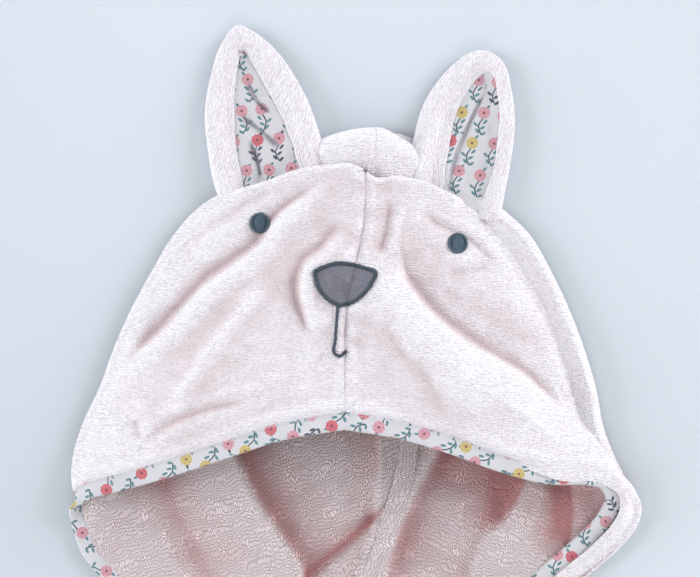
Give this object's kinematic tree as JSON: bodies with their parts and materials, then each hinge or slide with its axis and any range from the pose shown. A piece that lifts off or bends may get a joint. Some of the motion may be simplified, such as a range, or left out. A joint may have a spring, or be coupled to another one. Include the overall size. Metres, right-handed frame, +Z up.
{
  "type": "hooded baby towel",
  "caption": "Square terry baby towel with an animal-face hood, two floppy lined ears and printed cotton binding.",
  "frame": {"origin": "centre of the whole spread-out object's footprint, on the surface that it lies on", "axes": "+Z up, away from that surface; +Y from the towel to the hood and its ear tips; +X to the right when looking down with the hood at the top"},
  "size_m": [0.75, 1.1214, 0.0472],
  "materials": {
    "terry": "pale pink cotton terry with open loops",
    "velour": "pale pink sheared cotton velour",
    "printed_cotton": "white woven cotton with a small scattered flower print",
    "cotton_tape": "plain pink cotton tape",
    "grey_thread": "grey filled embroidery",
    "slate_thread": "dark slate satin stitch with a slight sheen"
  },
  "bodies": {
    "towel": {"towel_panel": "terry", "towel_edge_binding": "printed_cotton", "neck_seam_tape": "cotton_tape"},
    "hood": {"hood_face_left": "velour", "hood_face_right": "velour", "hood_back_left": "velour", "hood_back_right": "velour", "hood_front_seam_tape": "cotton_tape", "hood_back_seam_tape": "cotton_tape", "hood_opening_binding": "printed_cotton", "left_eye": "slate_thread", "right_eye": "slate_thread", "nose_patch": "grey_thread", "nose_border": "slate_thread", "mouth_stitch": "slate_thread"},
    "left_ear": {"left_ear_back": "velour", "left_ear_lining": "printed_cotton"},
    "right_ear": {"right_ear_back": "velour", "right_ear_lining": "printed_cotton"}
  },
  "joints": [
    {"name": "neck_fold", "type": "hinge", "parent": "towel", "child": "hood", "pos_m": [0, 0.1893, 0.006], "axis": [1, 0, 0], "range_deg": [0, 140]},
    {"name": "left_ear_flop", "type": "hinge", "parent": "hood", "child": "left_ear", "pos_m": [-0.0505, 0.4713, 0.0297], "axis": [0.9553, 0.2645, 0.1323], "range_deg": [0, 120]},
    {"name": "right_ear_flop", "type": "hinge", "parent": "hood", "child": "right_ear", "pos_m": [0.0575, 0.4658, 0.0302], "axis": [0.9207, -0.3648, -0.139], "range_deg": [0, 120]}
  ]
}
